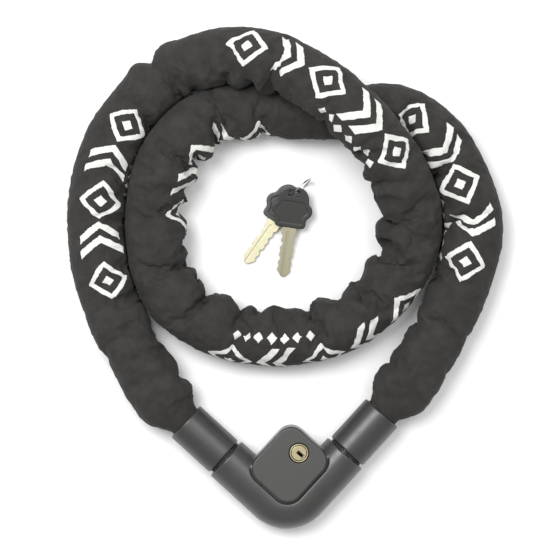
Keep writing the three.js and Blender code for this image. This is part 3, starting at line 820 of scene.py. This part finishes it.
def ferrule_field(x, y, z):
    """Along +X from the lock; the fabric goes into its outer end."""
    r = np.hypot(y, z)
    d = soft_max(r - 12.5, np.maximum(51 - x, x - 81.5), 1.3)
    d = soft_max(d, -soft_max(r - 10.9, 53.2 - x, 0.4), 0.45)
    return np.maximum(d, -(r - 6.6))


def pin_field(x, y, z):
    r = np.hypot(y, z)
    d = soft_max(r - 6.3, np.maximum(26.5 - x, x - 54), 1.5)
    d = soft_max(d, -soft_max(3.6 - r, np.maximum(29.4 - x, x - 34.2), 0.2), 0.3)
    d = np.minimum(d, soft_max(r - 9.6, np.maximum(53.5 - x, x - 70), 0.4))
    d = np.maximum(d, -block_field(x, y, z, (56.3, -12, -3), (80, 12, 3)))
    return np.maximum(d, -(np.hypot(x - 66, y) - 2.8))


def outline_field(x, y, outline):
    """Distance to a closed outline in the plane, negative inside."""
    best = np.full(x.shape, 1e6)
    crossed = np.zeros(x.shape, bool)
    for (x0, y0), (x1, y1) in zip(outline, np.roll(outline, -1, 0)):
        ex, ey = x1 - x0, y1 - y0
        t = np.clip(((x - x0) * ex + (y - y0) * ey) / max(ex * ex + ey * ey, 1e-12), 0, 1)
        best = np.minimum(best, (x - x0 - t * ex) ** 2 + (y - y0 - t * ey) ** 2)
        spans = (y0 > y) != (y1 > y)
        if y1 != y0:
            crossed ^= spans & (x < x0 + (y - y0) / (y1 - y0) * ex)
    return np.where(crossed, -1, 1) * np.sqrt(best)


def bezier(p0, p1, p2, p3, count=10):
    t = np.linspace(0, 1, count, endpoint=False)[:, None]
    p0, p1, p2, p3 = (np.array(p, float) for p in (p0, p1, p2, p3))
    return (1 - t) ** 3 * p0 + 3 * (1 - t) ** 2 * t * p1 + 3 * (1 - t) * t * t * p2 + t ** 3 * p3


HEAD_OUTLINE = np.vstack([
    bezier((-6.6, -20.4), (-2, -20.6), (2, -20.6), (6.6, -20.4)),
    bezier((6.6, -20.4), (8.6, -20.3), (9.3, -19.2), (9.2, -17)),
    bezier((9.2, -17), (9.1, -15.5), (9.3, -14.6), (10.4, -13.6)),
    bezier((10.4, -13.6), (12.6, -11.6), (12.6, -8.2), (10.2, -6.2)),
    bezier((10.2, -6.2), (9.0, -5.0), (9.4, -3.6), (9.0, -1.8)),
    bezier((9.0, -1.8), (8.0, 1.6), (5.5, 3.6), (2.5, 3.6)),
    bezier((2.5, 3.6), (1, 3.6), (-1, 3.6), (-2.5, 3.6)),
    bezier((-2.5, 3.6), (-5.5, 3.6), (-8.0, 1.6), (-9.0, -1.8)),
    bezier((-9.0, -1.8), (-9.4, -3.6), (-9.0, -5.0), (-10.2, -6.2)),
    bezier((-10.2, -6.2), (-12.6, -8.2), (-12.6, -11.6), (-10.4, -13.6)),
    bezier((-10.4, -13.6), (-9.3, -14.6), (-9.1, -15.5), (-9.2, -17)),
    bezier((-9.2, -17), (-9.3, -19.2), (-8.6, -20.3), (-6.6, -20.4)),
])


def head_field(x, y, z):
    plan = outline_field(x, y, HEAD_OUTLINE)
    d = soft_max(plan, np.abs(z) - 1.6, 0.75)
    hole = soft_max(np.abs(x) - 3.25, np.abs(y) - 1.75, 0)
    d = soft_max(d, -hole, 0.35)
    grip = soft_max(plan + 2.6, 0.0 * z + (y + 4.6), 1.2)
    d = soft_max(d, -soft_max(grip, 1.38 - np.abs(z), 0.1), 0.25)
    return np.maximum(d, -block_field(x, y, z, (-3.9, -30, -1.2), (3.9, -9.5, 1.2)))


def blade_outline():
    cuts, tip = 5, 50
    pitch = (tip - 28) / cuts
    depths = (0.9, 1.5, 0.6, 1.2, 0.8)
    p = [(-3.6, -9.9), (-3.6, -20.8), (-4.3, -20.8), (-4.3, -24.5)]
    for i in range(cuts):
        p += [(-4 + depths[i], -26 - i * pitch), (-4, -26 - (i + 0.6) * pitch)]
    p += [(-1, -tip), (1, -tip)]
    for i in reversed(range(cuts)):
        p += [(4, -26 - (i + 0.6) * pitch), (4 - depths[cuts - 1 - i], -26 - i * pitch)]
    return np.array(p + [(4.3, -24.5), (4.3, -20.8), (3.6, -20.8), (3.6, -9.9)])


BLADE_OUTLINE = blade_outline()


def blade_field(x, y, z):
    d = soft_max(outline_field(x, y, BLADE_OUTLINE), np.abs(z) - 0.9, 0.16)
    d = soft_max(d, -block_field(x, y, z, (-1.25, -60, 0.45), (-0.1, -23, 3)), 0.1)
    return soft_max(d, -block_field(x, y, z, (0.9, -60, -3), (1.9, -23, -0.5)), 0.1)


def screw_field(x, y, z):
    r = np.hypot(x, y)
    d = soft_max(r - 2.9, np.maximum(1.1 - z, z - 2.7), 0.3)
    d = np.minimum(d, soft_max(r - 1.3, np.maximum(2.6 - z, z - 20.2), 0.5))
    return soft_max(d, -block_field(x, y, z, (-0.4, -2.2, 0), (0.4, 2.2, 1.8)), 0.08)


def turn_z(angle):
    c, s = math.cos(angle), math.sin(angle)
    return np.array([[c, -s, 0], [s, c, 0], [0, 0, 1]])


def turn_x(angle):
    c, s = math.cos(angle), math.sin(angle)
    return np.array([[1, 0, 0], [0, c, -s], [0, s, c]])


def moved(turn, shift):
    """A place for a piece: its points turned, then shifted, in millimetres in the row frame."""
    return np.asarray(turn, float), np.asarray(shift, float)


ELBOW = np.array([0, ELBOW_Y / MM, 0])
LOCK = moved(turn_z(math.pi / 4), ELBOW)
CYLINDER = moved(LOCK[0], ELBOW + LOCK[0] @ [CYLINDER_A, CYLINDER_B, 0])


def piece(name, body, nodes, material, mesh, place):
    """One finished piece from (points, faces) in millimetres, standing for the named CAD nodes."""
    spots, faces = mesh
    turn, shift = place
    ob = mesh_object(name, (spots @ turn.T + shift) * MM, faces)
    ob.data.polygons.foreach_set("use_smooth", [True] * len(ob.data.polygons))
    ob.data.materials.append(MATERIAL[material])
    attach(ob, body)
    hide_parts(*nodes)
    return ob


piece("upper_shell", "lock_body", ["housing_upper_shell"], "plastic",
      surface(lambda a, b, z: housing_field(a, b, z, True), (-14, -14, 13), (51, 51, 28), 0.5), LOCK)
piece("lower_shell", "lock_body", ["housing_lower_shell"], "plastic",
      surface(lambda a, b, z: housing_field(a, b, z, False), (-14, -14, 0), (51, 51, 14), 0.55), LOCK)
piece("cover", "lock_body", ["cylinder_cover"], "cover",
      surface(cover_field, (3, 2, 25), (43, 38, 29), 0.3), LOCK)
piece("lock_cylinder", "lock_body", ["cylinder_body"], "brass",
      surface(body_field, (-7, -7, 7), (7, 7, 28.5), 0.25), CYLINDER)
piece("turning_plug", "plug", ["cylinder_plug"], "brass",
      surface(plug_field, (-4.6, -4.6, 5.8), (4.6, 4.6, 28.3), 0.16), CYLINDER)
for number, (a, b) in enumerate(SCREWS, 1):
    piece(f"screw_{number}", "lock_body", [f"shell_screw_{number}"], "plated",
          surface(screw_field, (-3, -3, 1), (3, 3, 20.5), 0.2), moved(LOCK[0], ELBOW + LOCK[0] @ [a, b, 0]))
ferrule_mesh = surface(ferrule_field, (51, -12.6, -12.6), (81.6, 12.6, 12.6), 0.4)
RIGHT_ARM = moved(turn_z(math.pi / 4), ELBOW + [0, 0, AXIS])
LEFT_ARM = moved(turn_z(3 * math.pi / 4), ELBOW + [0, 0, AXIS])
piece("ferrule_right", "chain", ["right_ferrule"], "ferrule", ferrule_mesh, RIGHT_ARM)
piece("ferrule_left", "lock_body", ["left_ferrule"], "ferrule", ferrule_mesh, LEFT_ARM)
piece("pin", "chain", ["locking_pin"], "steel",
      surface(pin_field, (26, -10, -10), (70.5, 10, 10), 0.35),
      moved(turn_z(math.pi / 4) @ turn_x(math.pi / 4), ELBOW + [0, 0, AXIS]))
for key, height, turn, pitch in (("key_front", 10.1, -10.7, 10.2), ("key_rear", 3.9, -37.7, 3.3)):
    place = moved(turn_z(math.radians(turn)) @ turn_x(math.radians(pitch)), [12, 158.5, height])
    piece(f"{key}_grip", key, [f"{key}_head"], "key_plastic",
          surface(head_field, (-12.5, -20.6, -1.8), (12.5, 4, 1.8), 0.2), place)
    piece(f"{key}_steel", key, [f"{key}_blade"], "nickel",
          surface(blade_field, (-4.5, -50.2, -1), (4.5, -9.8, 1), 0.14), place)


def split_ring():
    """Two turns of flattened wire lying side by side, with their ends a little apart."""
    radius, wire, turns = 6.9, 0.30, 2.0
    steps, sides = 360, 12
    t = np.linspace(0, 1, steps)
    angle = t * turns * 2 * math.pi + 0.6
    side = (np.clip((t - 0.47) / 0.06, 0, 1) * 2 - 1) * 0.25
    ring = np.stack([np.cos(angle), np.sin(angle), 0 * t], 1)
    line = ring * radius + side[:, None] * np.array([0, 0, 1])
    phase = np.arange(sides) * 2 * math.pi / sides
    taper = np.clip(np.minimum(t, 1 - t) / 0.004, 0.35, 1)[:, None, None]
    spots = (line[:, None] + taper * (ring[:, None] * (np.cos(phase) * wire * 1.45)[None, :, None]
             + np.array([0, 0, 1]) * (np.sin(phase) * wire * 0.8)[None, :, None]))
    faces = tube_faces(steps, sides).tolist()
    faces.append(list(range(sides))[::-1])
    faces.append([(steps - 1) * sides + n for n in range(sides)])
    return spots.reshape(-1, 3), faces


ring_points_mm, ring_faces = split_ring()
lean = turn_x(math.pi / 2 - math.radians(6))
heading = turn_z(math.radians(39.4))
ring_points_mm = ring_points_mm @ lean.T + [5.8, 0, 0]
piece("split_ring", "key_ring", ["key_ring"], "ring",
      (ring_points_mm, ring_faces), moved(heading, [12, 158.5, 7.5]))

# ---------------------------------------------------------------- the sleeve's three pieces
normals = whole_normals()
FIRST_BEND, SECOND_BEND = 0.091, 0.127  # along the sleeve, where the chain's links may fold
CUTS = (0.109, 0.145)


def ring_at(s):
    return int(np.argmin(np.abs(fine_arc - s)))


def blend_ends(s, reach=0.012):
    place = [np.interp(s, arc_lengths(route_curve), route_curve[:, k]) for k in range(3)]
    at = int(np.argmin(np.abs(arc - s)))
    along = tangent[at]
    return tuple(np.array(place) - along * reach), tuple(np.array(place) + along * reach)


near_cut, far_cut = ring_at(CUTS[0]), ring_at(CUTS[1])
lock_end = cut_sleeve("sleeve_lock_end", 0, near_cut, normals)
middle_part = cut_sleeve("sleeve_bend", near_cut, far_cut, normals)
long_part = cut_sleeve("sleeve_long", far_cut, len(fine) - 1, normals)
a, b = blend_ends(FIRST_BEND)
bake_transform(lock_end)
a, b = blend_ends(SECOND_BEND)
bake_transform(middle_part)
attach(long_part, "chain")
for part in (lock_end, middle_part, long_part):
    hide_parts("fabric_sleeve")

slots = {part["node"]: part["material_slot"] for part in frame["record"]["subparts"]}
for name, node in frame["nodes"].items():
    if not node.hide_render:
        node.data.materials.clear()
        node.data.materials.append(MATERIAL[SLOT_FINISH[slots[name]]])

# ---------------------------------------------------------------- floor and light
floor = mesh_object("floor", [(-4, -4, 0), (4, -4, 0), (4, 4, 0), (-4, 4, 0)], [(0, 1, 2, 3)])
pale = Finish("pale_floor")
floor_vector, _ = pale.place()
pale_cloud = pale.noise(floor_vector, 120, 2)
pale_tones = [pale.colour_of(level, level, level) for level in (0.90, 0.92)]
pale.drive("Base Color", pale.mix(pale_cloud, *pale_tones))
pale.number("Roughness", 0.9)
floor.data.materials.append(pale.material)


def area_light(name, place, aim, size, power):
    data = bpy.data.lights.new(name, "AREA")
    data.size = size
    data.energy = power
    ob = bpy.data.objects.new(name, data)
    ob.location = place
    ob.rotation_euler = (Vector(aim) - Vector(place)).to_track_quat("-Z", "Y").to_euler()
    bpy.context.scene.collection.objects.link(ob)


area_light("key_light", (-0.5, 0.6, 1.5), (0, 0.1, 0), 0.8, 23)
area_light("fill_light", (0.65, 0.45, 1.5), (0, 0.1, 0), 0.9, 8)
world = bpy.data.worlds.new("studio")
bpy.context.scene.world = world
world.use_nodes = True
world.node_tree.nodes["Background"].inputs["Color"].default_value = (1, 1, 1, 1)
world.node_tree.nodes["Background"].inputs["Strength"].default_value = 0.58
bpy.context.scene.view_settings.view_transform = "Standard"
